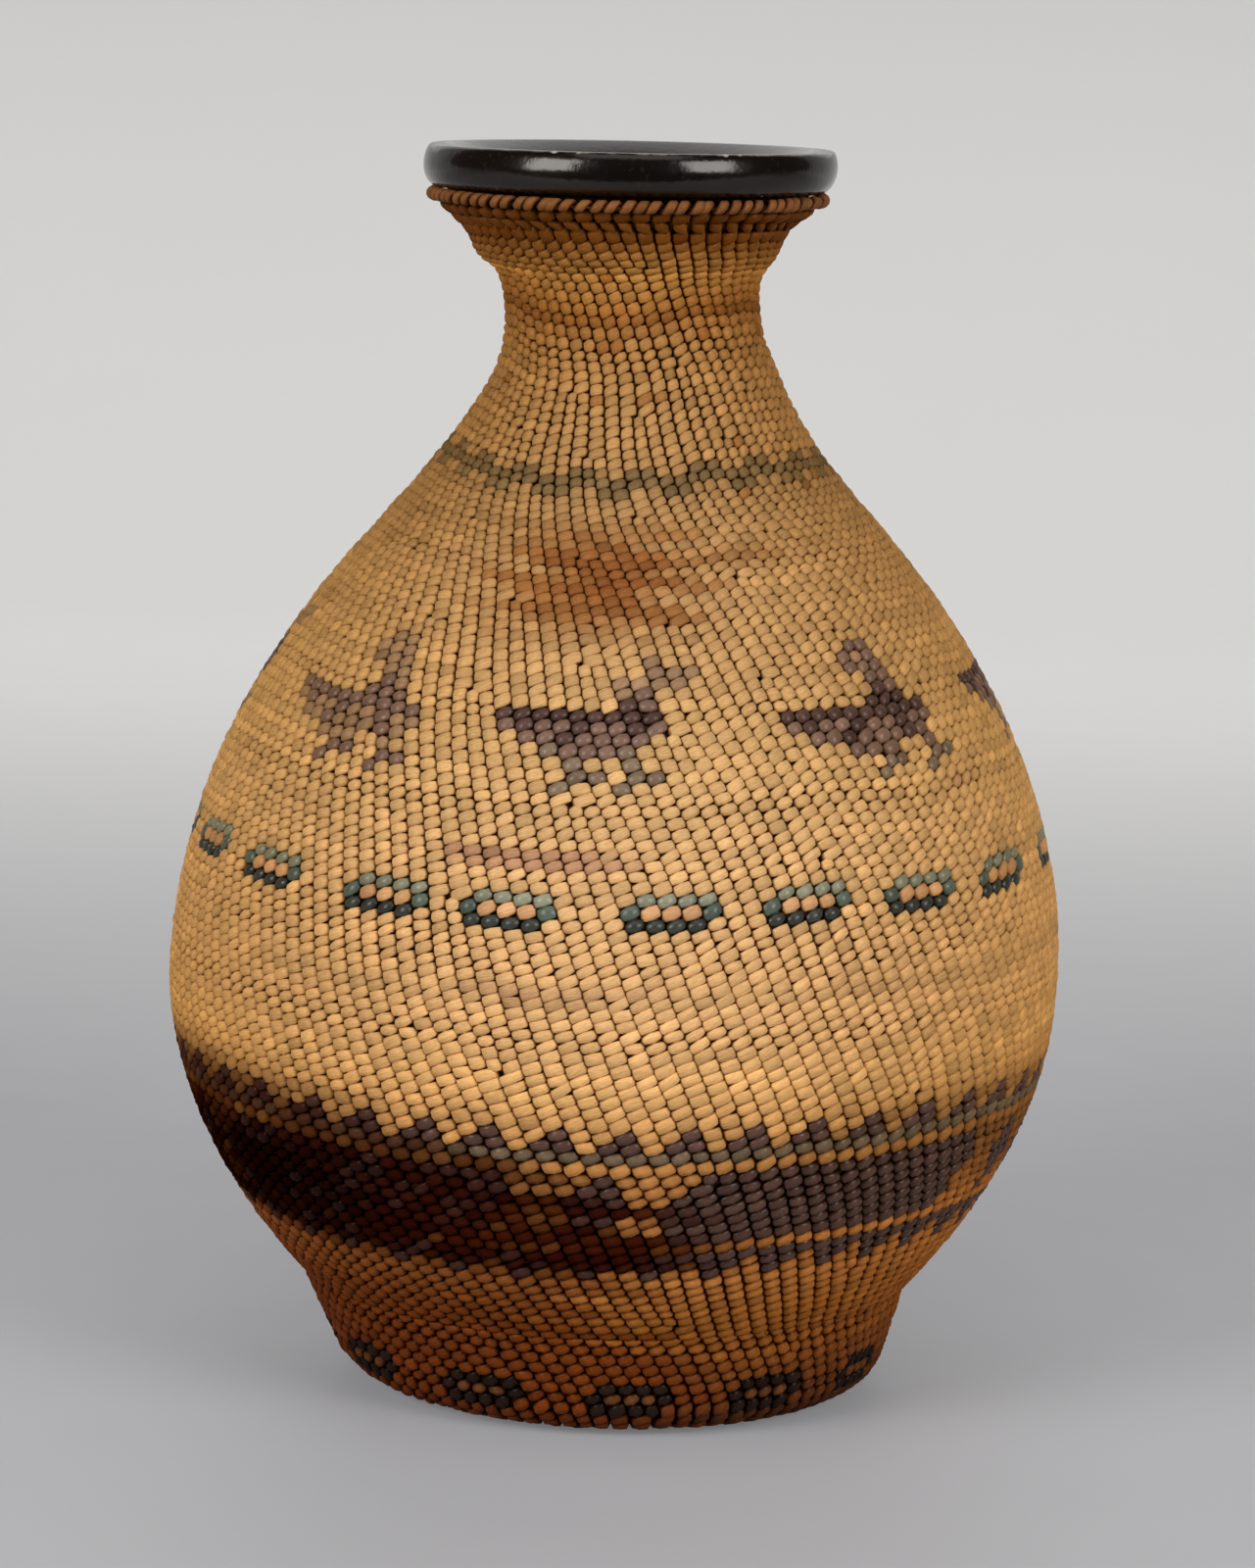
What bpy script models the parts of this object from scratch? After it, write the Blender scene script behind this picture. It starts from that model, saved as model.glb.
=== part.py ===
"""Stoneware bottle in a close-fitting twined basketry cover.

The bottle is one turned and fired piece: a standing foot, a round belly, a narrow
neck and a dished mouth with a rolled lip. The cover is woven round it and can't come
off. Thin bark warps start in a plaited square under the foot and run up the outside
to the lip. Rows of twined weft wrap the warps, and each group of rows that shares a
colour or a design is a band of its own. A braid finishes the edge under the lip.

Metres, +Z up. The origin is on the axis, in the plane that the bottle stands on.
"""
import math

import bmesh
import bpy
import numpy as np
from mathutils import Matrix

# Layers of the cover, counted outwards from the stoneware
FIT_GAP = 0.0003
WARP_THICKNESS = 0.0005
WEFT_THICKNESS = 0.0011

# Outside of the stoneware, as radii and as heights above its own foot
FOOT_RADIUS = 0.0362
FOOT_ROUNDING = 0.0055
FOOT_TOP_RADIUS = 0.0415
FOOT_TOP_HEIGHT = 0.0141
BELLY_START_SLOPE = 0.91
BELLY_RADIUS = 0.06075
BELLY_HEIGHT = 0.0562
SHOULDER_RADIUS = 0.0343
SHOULDER_HEIGHT = 0.1176
SHOULDER_SLOPE = 0.89
NECK_RADIUS = 0.01575
NECK_HEIGHT = 0.1499
FLARE_RADIUS = 0.0265
FLARE_HEIGHT = 0.16565
FLARE_SLOPE = 1.9

# Rolled lip, a part of an ellipse that starts where the flare ends
LIP_OVERHANG = 0.00225
LIP_HALF_HEIGHT = 0.0034
LIP_TOP_INSET = 0.00095

# Inside of the stoneware
BODY_WALL = 0.0050
NECK_WALL = 0.0054
FLOOR_THICKNESS = 0.0060
FLOOR_FILLET = 0.0040

# Centre of the base, where the warps cross
PLAIT_SIDE = 0.0160
PLAIT_RECESS = 0.0006
PLAIT_BEVEL = 0.0003

# Fold of the collar, where the cover stands off the stoneware all round under the lip
FOLD_HEIGHT = 0.1605
FOLD_HALF_HEIGHT = 0.0030
FOLD_RISE = 0.0008
FOLD_CUTS = (-1.7, -1.1, -0.6, 0.0, 0.6, 1.1, 1.6)

# Edge under the lip
EDGE_BRAID_RADIUS = 0.0010
EDGE_BRAID_SIDES = 8
EDGE_BRAID_SETBACK = 0.0004

# Side bands of weft, from the foot up: name, colour, share of the side's height
WEFT_BANDS = (
    ("foot_turn_weft", "shaded_natural", 3),
    ("foot_dash_band", "dyed_dark", 4),
    ("lower_weft", "shaded_natural", 12),
    ("lower_tooth_band", "dyed_dark", 3),
    ("dark_wave_band", "dyed_dark", 9),
    ("upper_tooth_band", "dyed_dark", 4),
    ("belly_weft", "pale_natural", 15),
    ("ring_band", "dyed_green", 3),
    ("waist_weft", "pale_natural", 8),
    ("bird_band", "dyed_plum", 12),
    ("shoulder_weft", "stained_natural", 15),
    ("castellated_band", "dyed_olive", 4),
    ("neck_weft", "warm_natural", 12),
    ("collar_weft", "warm_natural", 12),
)

# Colour as linear red, green and blue, then roughness
FINISHES = {
    "brown_glaze": ((0.012, 0.006, 0.004), 0.16),
    "bark": ((0.200, 0.090, 0.036), 0.75),
    "pale_natural": ((0.560, 0.320, 0.110), 0.55),
    "warm_natural": ((0.430, 0.200, 0.065), 0.55),
    "stained_natural": ((0.440, 0.190, 0.065), 0.55),
    "shaded_natural": ((0.340, 0.150, 0.045), 0.55),
    "dyed_dark": ((0.050, 0.024, 0.020), 0.50),
    "dyed_plum": ((0.105, 0.060, 0.052), 0.50),
    "dyed_green": ((0.110, 0.130, 0.090), 0.45),
    "dyed_olive": ((0.200, 0.160, 0.085), 0.50),
}

# Facets: turned pieces share one count, so that their flats line up
SEGMENTS = 44
FACET_ERROR = 0.00014
FOOT_ROUNDING_POINTS = 16
FILLET_POINTS = 3
LIP_POINTS = 7
PATH_STEP = 0.0002
CREASE_ANGLE = math.radians(38.0)
MERGE_DISTANCE = 0.000002

COVER_THICKNESS = FIT_GAP + WARP_THICKNESS + FIT_GAP + WEFT_THICKNESS


def hermite(start, start_slope, end, end_slope):
    """Smooth run of (radius, height) points between two points with given slopes."""
    rise = end[1] - start[1]
    t = np.linspace(0.0, 1.0, max(2, int(rise / PATH_STEP)))
    radius = (
        start[0] * (2 * t**3 - 3 * t**2 + 1)
        + end[0] * (3 * t**2 - 2 * t**3)
        + rise * start_slope * (t**3 - 2 * t**2 + t)
        + rise * end_slope * (t**3 - t**2)
    )
    return np.column_stack([radius, start[1] + rise * t])


def straight(start, end):
    """Evenly spaced (radius, height) points on a straight line."""
    length = math.dist(start, end)
    return np.linspace(start, end, max(2, int(length / PATH_STEP)))


def ellipse_arc(centre, half_width, half_height, start_angle, end_angle, count):
    """Points on a part of an ellipse, with angles counted from the outward side."""
    angle = np.linspace(start_angle, end_angle, count)
    return np.column_stack(
        [centre[0] + half_width * np.cos(angle), centre[1] + half_height * np.sin(angle)]
    )


def bottle_outside():
    """Outer face of the stoneware from the axis under the foot to the end of the flare,
    and the arc length at which the rounding of the foot starts."""
    bottom = COVER_THICKNESS
    wall_slope = (FOOT_TOP_RADIUS - FOOT_RADIUS) / FOOT_TOP_HEIGHT
    corner = (
        FOOT_RADIUS + FOOT_ROUNDING * (wall_slope - math.hypot(1.0, wall_slope)),
        bottom + FOOT_ROUNDING,
    )
    rounding = ellipse_arc(
        corner,
        FOOT_ROUNDING,
        FOOT_ROUNDING,
        -math.pi / 2,
        -math.atan(wall_slope),
        FOOT_ROUNDING_POINTS,
    )
    foot_top = (FOOT_TOP_RADIUS, bottom + FOOT_TOP_HEIGHT)
    belly = (BELLY_RADIUS, bottom + BELLY_HEIGHT)
    shoulder = (SHOULDER_RADIUS, bottom + SHOULDER_HEIGHT)
    neck = (NECK_RADIUS, bottom + NECK_HEIGHT)
    flare = (FLARE_RADIUS, bottom + FLARE_HEIGHT)
    runs = (
        straight((0.0, bottom), tuple(rounding[0])),
        rounding,
        straight(tuple(rounding[-1]), foot_top),
        hermite(foot_top, BELLY_START_SLOPE, belly, 0.0),
        hermite(belly, 0.0, shoulder, -SHOULDER_SLOPE),
        hermite(shoulder, -SHOULDER_SLOPE, neck, 0.0),
        hermite(neck, 0.0, flare, FLARE_SLOPE),
    )
    path = np.vstack([runs[0]] + [run[1:] for run in runs[1:]])
    return path, corner[0]


OUTSIDE, FOOT_TURN_START = bottle_outside()
ARC = np.concatenate([[0.0], np.cumsum(np.linalg.norm(np.diff(OUTSIDE, axis=0), axis=1))])
ARC_END = ARC[-1]


def outside_at(arc, offset=0.0):
    """Point at an arc length along the outside of the stoneware, moved out by offset."""

    def point(position):
        return np.array([np.interp(position, ARC, OUTSIDE[:, axis]) for axis in (0, 1)])

    tangent = point(min(arc + PATH_STEP, ARC_END)) - point(max(arc - PATH_STEP, 0.0))
    tangent /= np.linalg.norm(tangent)
    return point(arc) + offset * np.array([tangent[1], -tangent[0]])


def facet_stations():
    """Arc lengths of the facets' ends, close together where the outline bends."""
    heading = np.unwrap(np.arctan2(*np.diff(OUTSIDE, axis=0).T))
    stations = [FOOT_TURN_START]
    first = int(np.searchsorted(ARC, FOOT_TURN_START))
    for index in range(first, len(heading)):
        length = ARC[index] - ARC[first]
        turn = np.ptp(heading[first : index + 1])
        if length * turn / 8 > FACET_ERROR:
            stations.append(ARC[index])
            first = index
    return np.array(stations)


STATIONS = facet_stations()


def arcs_between(start, end, stations):
    """Two ends of a layer, with the stations that lie clear of them in between."""
    clear_of_ends = (stations > start + PATH_STEP) & (stations < end - PATH_STEP)
    return [start, *stations[clear_of_ends], end]


def layer(start, end, inner, outer):
    """Closed outline of a cover layer between two arc lengths and two offsets."""
    arcs = arcs_between(start, end, STATIONS)
    down_the_outside = [outside_at(arc, outer) for arc in reversed(arcs)]
    up_the_inside = [outside_at(arc, inner) for arc in arcs]
    return down_the_outside + up_the_inside


def folded_layer(start, end, inner, outer):
    """A cover layer whose outer face swells into the fold of the collar."""
    cut_heights = FOLD_HEIGHT + FOLD_HALF_HEIGHT * np.array(FOLD_CUTS)
    fold_stations = np.interp(cut_heights, OUTSIDE[:, 1], ARC)
    plain = layer(start, end, inner, outer)
    up_the_inside = plain[len(plain) // 2 :]
    down_the_outside = []
    for arc in reversed(arcs_between(start, end, fold_stations)):
        away = (np.interp(arc, ARC, OUTSIDE[:, 1]) - FOLD_HEIGHT) / FOLD_HALF_HEIGHT
        down_the_outside.append(outside_at(arc, outer + FOLD_RISE * math.exp(-(away**2))))
    return down_the_outside + up_the_inside


def bottle_outline():
    """Outline of the stoneware from the middle of its floor, over the lip, to the axis
    under its foot."""
    floor = COVER_THICKNESS + FLOOR_THICKNESS
    neck_arc = ARC[np.argmax(OUTSIDE[:, 1] >= COVER_THICKNESS + NECK_HEIGHT)]
    shoulder_arc = ARC[np.argmax(OUTSIDE[:, 1] >= COVER_THICKNESS + SHOULDER_HEIGHT)]
    arcs = [*STATIONS, ARC_END]
    walls = np.interp(arcs, [shoulder_arc, neck_arc], [BODY_WALL, NECK_WALL])
    inside = [outside_at(arc, -wall) for arc, wall in zip(arcs, walls)]
    inside = [point for point in inside if point[1] > floor + FLOOR_FILLET]
    fillet = ellipse_arc(
        (inside[0][0] - FLOOR_FILLET, floor + FLOOR_FILLET),
        FLOOR_FILLET,
        FLOOR_FILLET,
        -math.pi / 2,
        -math.pi / 8,
        FILLET_POINTS,
    )
    lip_centre = (FLARE_RADIUS, COVER_THICKNESS + FLARE_HEIGHT + LIP_HALF_HEIGHT)
    lip_top_angle = math.acos(1.0 - LIP_TOP_INSET / LIP_OVERHANG)
    lip = ellipse_arc(
        lip_centre,
        LIP_OVERHANG,
        LIP_HALF_HEIGHT,
        lip_top_angle,
        -math.pi / 2,
        LIP_POINTS,
    )
    outside = [outside_at(arc) for arc in reversed(STATIONS)]
    return (
        [(0.0, floor)]
        + list(fillet)
        + inside
        + list(lip)
        + outside
        + [(0.0, COVER_THICKNESS)]
    )


def clear_scene():
    for obj in list(bpy.data.objects):
        bpy.data.objects.remove(obj, do_unlink=True)


def collection(name):
    group = bpy.data.collections.new(name)
    bpy.context.scene.collection.children.link(group)
    return group


def material(name):
    colour, roughness = FINISHES[name]
    finish = bpy.data.materials.new(name)
    finish.use_nodes = True
    shader = finish.node_tree.nodes["Principled BSDF"]
    shader.inputs["Base Color"].default_value = (*colour, 1.0)
    shader.inputs["Roughness"].default_value = roughness
    shader.inputs["Metallic"].default_value = 0.0
    return finish


def turned(name, outline, closed, finish, group):
    """Piece turned about the axis from an outline that runs down its outer side."""
    count = len(outline)
    edges = [(index, index + 1) for index in range(count - 1)]
    if closed:
        edges.append((count - 1, 0))
    profile = bpy.data.meshes.new(name + "_profile")
    profile.from_pydata([(radius, 0.0, height) for radius, height in outline], edges, [])
    piece = bpy.data.objects.new(name, profile)
    group.objects.link(piece)
    screw = piece.modifiers.new("turn", "SCREW")
    screw.axis = "Z"
    screw.angle = math.tau
    screw.steps = screw.render_steps = SEGMENTS
    screw.use_merge_vertices = True
    screw.merge_threshold = MERGE_DISTANCE
    piece.data = bpy.data.meshes.new_from_object(
        piece.evaluated_get(bpy.context.evaluated_depsgraph_get())
    )
    piece.data.name = name
    piece.modifiers.clear()
    bpy.data.meshes.remove(profile)
    piece.data.shade_smooth()
    piece.data.set_sharp_from_angle(angle=CREASE_ANGLE)
    piece.data.materials.append(finish)
    return piece


def block(name, side, low, high, group):
    """Square block on the axis between two heights."""
    mesh = bpy.data.meshes.new(name)
    shape = bmesh.new()
    size = Matrix.Diagonal((side, side, high - low, 1.0))
    bmesh.ops.create_cube(shape, size=1.0, matrix=size)
    shape.to_mesh(mesh)
    shape.free()
    piece = bpy.data.objects.new(name, mesh)
    piece.location.z = (low + high) / 2
    group.objects.link(piece)
    return piece


def cut(piece, cutter):
    boolean = piece.modifiers.new("plait opening", "BOOLEAN")
    boolean.operation = "DIFFERENCE"
    boolean.solver = "EXACT"
    boolean.object = cutter


def make_bottle(finishes, group):
    turned("stoneware_bottle", bottle_outline(), False, finishes["brown_glaze"], group)


def make_base(finishes, group, cutters):
    """Plaited centre of the base, and the twined rounds between it and the foot."""
    opening = block(
        "plait_opening", PLAIT_SIDE + 2 * FIT_GAP, -COVER_THICKNESS, COVER_THICKNESS, cutters
    )
    opening.hide_render = True
    opening.display_type = "WIRE"

    plait = block(
        "base_plait", PLAIT_SIDE, PLAIT_RECESS, COVER_THICKNESS - FIT_GAP, group
    )
    plait.data.materials.append(finishes["bark"])
    bevel = plait.modifiers.new("soft edges", "BEVEL")
    bevel.width = PLAIT_BEVEL
    bevel.segments = 1

    twining = turned(
        "base_twining",
        layer(
            PLAIT_SIDE / 4,
            FOOT_TURN_START - FIT_GAP / 2,
            COVER_THICKNESS - WEFT_THICKNESS,
            COVER_THICKNESS,
        ),
        True,
        finishes["shaded_natural"],
        group,
    )
    cut(twining, opening)
    return opening


def make_warps(cover_end, opening, finishes, group):
    """Bark warps, one layer from the plaited centre to the edge under the lip."""
    outline = layer(PLAIT_SIDE / 4, cover_end, FIT_GAP, FIT_GAP + WARP_THICKNESS)
    warps = turned("warp_strands", outline, True, finishes["bark"], group)
    cut(warps, opening)


def make_side_bands(cover_end, finishes, group):
    """Bands of weft, which divide the side by their shares. The last one, the collar, folds."""
    share_height = (cover_end - FOOT_TURN_START) / sum(band[2] for band in WEFT_BANDS)
    shares_below = 0
    for name, colour, share in WEFT_BANDS:
        start = FOOT_TURN_START + shares_below * share_height
        shares_below += share
        end = FOOT_TURN_START + shares_below * share_height
        make_layer = folded_layer if name == WEFT_BANDS[-1][0] else layer
        outline = make_layer(
            start + FIT_GAP / 2,
            end - FIT_GAP / 2,
            COVER_THICKNESS - WEFT_THICKNESS,
            COVER_THICKNESS,
        )
        turned(name, outline, True, finishes[colour], group)


def make_edge_braid(braid_arc, finishes, group):
    """Braided edge that binds the ends of the warps under the lip."""
    centre = outside_at(braid_arc, FIT_GAP + EDGE_BRAID_RADIUS)
    round_once = ellipse_arc(
        centre, EDGE_BRAID_RADIUS, EDGE_BRAID_RADIUS, 0.0, -math.tau, EDGE_BRAID_SIDES + 1
    )
    turned("edge_braid", list(round_once[:-1]), True, finishes["warm_natural"], group)


def main():
    clear_scene()
    parts = collection("basketry_covered_bottle")
    cutters = collection("cutters")
    finishes = {name: material(name) for name in FINISHES}
    braid_arc = ARC_END - EDGE_BRAID_SETBACK
    cover_end = braid_arc - EDGE_BRAID_RADIUS - FIT_GAP

    make_bottle(finishes, parts)
    opening = make_base(finishes, parts, cutters)
    make_warps(cover_end, opening, finishes, parts)
    make_side_bands(cover_end, finishes, parts)
    make_edge_braid(braid_arc, finishes, parts)


main()
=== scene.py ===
"""Stoneware bottle in a twined basketry cover, dressed for a studio picture.

The pieces follow the order in which the real thing is put together: the bottle first, then the
bark warps and their plaited centre, the twined rounds under the foot, the bands of weft up the
side and the bound edge under the lip. Metres, +Z up, and -Y is the side that faces the camera.
"""
import math

import bmesh
import bpy
import numpy as np
from mathutils import Matrix, Vector


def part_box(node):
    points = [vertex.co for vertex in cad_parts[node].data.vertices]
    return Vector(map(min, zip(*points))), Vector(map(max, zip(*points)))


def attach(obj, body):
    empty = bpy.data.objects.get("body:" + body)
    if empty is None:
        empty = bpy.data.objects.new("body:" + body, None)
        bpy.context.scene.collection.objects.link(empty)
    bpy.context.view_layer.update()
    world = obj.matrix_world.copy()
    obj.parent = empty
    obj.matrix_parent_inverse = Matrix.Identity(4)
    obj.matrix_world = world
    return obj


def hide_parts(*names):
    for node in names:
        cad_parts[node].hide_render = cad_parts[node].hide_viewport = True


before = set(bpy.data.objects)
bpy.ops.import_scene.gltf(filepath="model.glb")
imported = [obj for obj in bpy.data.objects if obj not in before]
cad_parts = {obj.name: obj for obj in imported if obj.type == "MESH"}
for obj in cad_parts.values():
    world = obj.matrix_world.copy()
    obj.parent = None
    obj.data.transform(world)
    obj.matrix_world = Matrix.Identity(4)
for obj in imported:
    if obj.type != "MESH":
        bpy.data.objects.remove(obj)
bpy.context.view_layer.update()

# The stoneware bottle
# Thrown in one piece with a small foot, a round belly, a narrow neck and a dished mouth inside a
# thick rolled lip, then glazed dark brown all over and fired. The lip is worn and chipped.
COVER_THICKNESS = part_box("stoneware_bottle")[0].z
FOOT_RADIUS = 0.0362
FOOT_ROUNDING = 0.0055
FOOT_TOP = (0.0415, 0.0141)
BELLY_START_SLOPE = 0.91
BELLY = (0.06075, 0.0562)
SHOULDER = (0.0343, 0.1176)
SHOULDER_SLOPE = 0.89
NECK = (0.01575, 0.1499)
FLARE = (0.0265, 0.16565)
FLARE_SLOPE = 1.9
LIP_OVERHANG = 0.00225
LIP_HALF_HEIGHT = 0.0034
LIP_TOP_INSET = 0.00095
LIP_EASING = 0.0006
BODY_WALL = 0.0050
NECK_WALL = 0.0054
FLOOR_THICKNESS = 0.0060
PATH_STEP = 0.0002
INSIDE_STEP = 0.0020
TURNS = 192
WELD_DISTANCE = 0.00001
FOOT_TURN_POINTS = 16
LIP_POINTS = 20
LIP_CUT_DEGREES = 14
OUTSIDE_STRIDE = 5
GLAZE_DARK = (0.003, 0.002, 0.0015)
GLAZE_PALE = (0.008, 0.004, 0.002)
GLAZE_SPECKS = (0.03, 0.017, 0.01)
WEAR_REACH = (0.00008, 0.00042)
WEAR_DROPS = (0.0009, 0.0003)
WEAR_MOST = 0.75
CHIP_REACH = (0.0006, 0.00095)
CHIP_DROP = 0.0002
CHIP_RAGGEDNESS = 0.0007
RIM_WEAR_COLOUR = (0.36, 0.30, 0.22)
CHIP_COLOUR = (0.46, 0.40, 0.32)
CHIP_ANGLES = (27.0, 31.5, -22.0, -14.5, 118.0, 201.0, 255.0)
SHIFT_HEIGHTS = (
    0.002, 0.014, 0.03, 0.056, 0.07, 0.09, 0.108, 0.12, 0.132, 0.144, 0.151, 0.158, 0.163, 0.174
)
SHIFT_TO_SIDE = (8, -4, -6, -5, 0, 2, 4, 5, 1, 4, -5, -13, -19, -13)
SHIFT_UNIT = 0.0001
LIFT_HEIGHTS = (0.148, 0.166)
LIFT = (0.0006, 0.0005, 0.00025)


def hermite(start, start_slope, end, end_slope):
    """Smooth run of (radius, height) points between two points with given slopes."""
    rise = end[1] - start[1]
    t = np.linspace(0.0, 1.0, int(rise / PATH_STEP))
    radius = (
        start[0] * (2 * t**3 - 3 * t**2 + 1)
        + end[0] * (3 * t**2 - 2 * t**3)
        + rise * start_slope * (t**3 - 2 * t**2 + t)
        + rise * end_slope * (t**3 - t**2)
    )
    return np.column_stack([radius, start[1] + rise * t])


def arc_points(centre, half_width, half_height, start_degrees, end_degrees, count):
    """Points on a part of an ellipse, with angles counted from the outward side."""
    angle = np.radians(np.linspace(start_degrees, end_degrees, count))
    return np.column_stack(
        [centre[0] + half_width * np.cos(angle), centre[1] + half_height * np.sin(angle)]
    )


def outside_of_bottle():
    """Outside of the stoneware as radii and heights from the axis under the foot to the end of
    the flare, and the arc length where the foot starts to turn up."""
    lean = (FOOT_TOP[0] - FOOT_RADIUS) / FOOT_TOP[1]
    corner = (FOOT_RADIUS + FOOT_ROUNDING * (lean - math.hypot(1.0, lean)), FOOT_ROUNDING)
    end_degrees = -math.degrees(math.atan(lean))
    foot_turn = arc_points(
        corner, FOOT_ROUNDING, FOOT_ROUNDING, -90, end_degrees, FOOT_TURN_POINTS
    )
    under = np.linspace((0.0, 0.0), foot_turn[0], int(corner[0] / PATH_STEP))
    foot_wall = np.linspace(foot_turn[-1], FOOT_TOP, int(FOOT_TOP[1] / PATH_STEP))
    runs = (
        foot_turn,
        foot_wall,
        hermite(FOOT_TOP, BELLY_START_SLOPE, BELLY, 0.0),
        hermite(BELLY, 0.0, SHOULDER, -SHOULDER_SLOPE),
        hermite(SHOULDER, -SHOULDER_SLOPE, NECK, 0.0),
        hermite(NECK, 0.0, FLARE, FLARE_SLOPE),
    )
    path = np.vstack([under] + [run[1:] for run in runs])
    path[:, 1] += COVER_THICKNESS
    return path, corner[0]


OUTSIDE, FOOT_TURN_START = outside_of_bottle()
ARC = np.concatenate([[0.0], np.cumsum(np.linalg.norm(np.diff(OUTSIDE, axis=0), axis=1))])
TANGENT = np.gradient(OUTSIDE, ARC, axis=0)
TANGENT /= np.linalg.norm(TANGENT, axis=1)[:, None]


def along_outside(arc, offset):
    """Radii and heights at arc lengths along the outside, moved out by an offset."""
    run = np.interp(arc, ARC, TANGENT[:, 0])
    climb = np.interp(arc, ARC, TANGENT[:, 1])
    length = np.hypot(run, climb)
    radius = np.interp(arc, ARC, OUTSIDE[:, 0]) + offset * climb / length
    height = np.interp(arc, ARC, OUTSIDE[:, 1]) - offset * run / length
    return radius, height


def eased(before, corner, after, count=6):
    """Rounded corner between two points on its sides."""
    t = np.linspace(0.0, 1.0, count)[:, None]
    before, corner, after = (np.array(point) for point in (before, corner, after))
    return (1 - t) ** 2 * before + 2 * t * (1 - t) * corner + t**2 * after


def bottle_profile():
    """Profile from the middle of the floor inside, over the lip, to the axis under the foot."""
    arcs = np.arange(FOOT_TURN_START, ARC[-1], INSIDE_STEP)
    wall = np.interp(along_outside(arcs, 0.0)[1], [SHOULDER[1], NECK[1]], [BODY_WALL, NECK_WALL])
    inside = np.column_stack(along_outside(arcs, -wall))
    floor = COVER_THICKNESS + FLOOR_THICKNESS
    inside = inside[inside[:, 1] > floor + BODY_WALL]
    reach = inside[0][0]
    fillet = eased((reach - 2 * BODY_WALL, floor), (reach - BODY_WALL / 3, floor), inside[0])
    lip_centre = (FLARE[0], COVER_THICKNESS + FLARE[1] + LIP_HALF_HEIGHT)
    top_degrees = math.degrees(math.acos(1.0 - LIP_TOP_INSET / LIP_OVERHANG))
    lip_start = top_degrees - LIP_CUT_DEGREES
    lip = arc_points(lip_centre, LIP_OVERHANG, LIP_HALF_HEIGHT, lip_start, -90, LIP_POINTS)
    crest = arc_points(lip_centre, LIP_OVERHANG, LIP_HALF_HEIGHT, top_degrees, top_degrees, 1)[0]
    dish = inside[-1] - crest
    dish_start = crest + dish * 2 * LIP_EASING / np.linalg.norm(dish)
    crest_round = eased(dish_start, crest, lip[0])
    outside = OUTSIDE[::-OUTSIDE_STRIDE]
    return np.vstack(
        [[(0.0, floor)], fillet[:-1], inside, crest_round[:-1], lip[:-1], outside]
    )


def lopsided(radius, angle, height):
    """Places at radii, angles from the front and heights, with the handmade lean of the whole:
    its axis strays to the sides, and the lip and the edge stand a little higher at the front."""
    side = np.interp(height, SHIFT_HEIGHTS, SHIFT_TO_SIDE) * SHIFT_UNIT
    share = np.interp(height, LIFT_HEIGHTS, (0.0, 1.0))
    lift = share * (LIFT[0] + LIFT[1] * np.cos(angle) + LIFT[2] * np.sin(angle))
    places = radius * np.sin(angle) + side, -radius * np.cos(angle), height + lift
    return np.stack(np.broadcast_arrays(*places), axis=-1)


def points_of(mesh):
    points = np.empty(len(mesh.vertices) * 3)
    mesh.vertices.foreach_get("co", points)
    return points.reshape(-1, 3)


def mesh_from(shape, name):
    """A new mesh of what a bmesh holds, and the end of that bmesh."""
    mesh = bpy.data.meshes.new(name)
    shape.to_mesh(mesh)
    shape.free()
    return mesh


def store(mesh, name, kind, key, values):
    attribute = mesh.attributes.new(name, kind, "POINT")
    attribute.data.foreach_set(key, np.asarray(values, dtype=np.float32).ravel())


def link(name, mesh):
    piece = bpy.data.objects.new(name, mesh)
    bpy.context.scene.collection.objects.link(piece)
    return piece


def turned_bottle():
    shape = bmesh.new()
    ring = [shape.verts.new((0.0, -radius, height)) for radius, height in bottle_profile()]
    edges = [shape.edges.new(pair) for pair in zip(ring[:-1], ring[1:])]
    bmesh.ops.spin(
        shape, geom=ring + edges, cent=(0, 0, 0), axis=(0, 0, 1), angle=math.tau,
        steps=TURNS, use_merge=True,
    )
    bmesh.ops.remove_doubles(shape, verts=shape.verts, dist=WELD_DISTANCE)
    bmesh.ops.recalc_face_normals(shape, faces=shape.faces)
    mesh = mesh_from(shape, "glazed_bottle")
    turned = points_of(mesh)
    x, y, z = turned.T
    store(mesh, "turned", "FLOAT_VECTOR", "vector", turned)
    mesh.vertices.foreach_set("co", lopsided(np.hypot(x, y), np.arctan2(x, -y), z).ravel())
    mesh.shade_smooth()
    return mesh


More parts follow.
